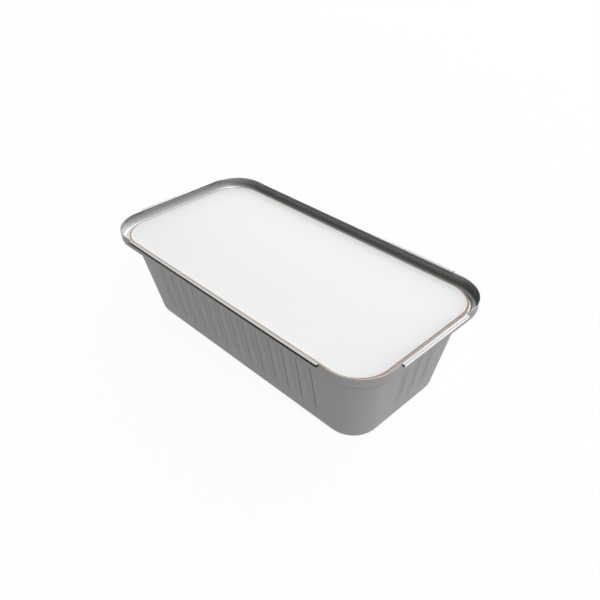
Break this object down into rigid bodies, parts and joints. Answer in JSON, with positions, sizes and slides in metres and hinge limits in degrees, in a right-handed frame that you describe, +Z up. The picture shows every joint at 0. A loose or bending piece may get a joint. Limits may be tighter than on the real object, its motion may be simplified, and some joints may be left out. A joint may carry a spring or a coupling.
{
  "type": "foil food container",
  "caption": "Oblong pressed foil food container with fluted flared walls, an upright rim with folded lips, and a loose white board lid lying on its ledge.",
  "frame": {"origin": "centre of the underside of the tray's base", "axes": "+X along the long side, +Y across the tray, +Z up through the open mouth"},
  "size_m": [0.22, 0.1134, 0.0635],
  "materials": {
    "foil": "satin pressed aluminium foil, brighter inside the rim",
    "board": "smooth white faced board with a brown cut edge"
  },
  "bodies": {
    "root": {"foil_tray": "foil", "board_lid": "board"}
  },
  "joints": []
}
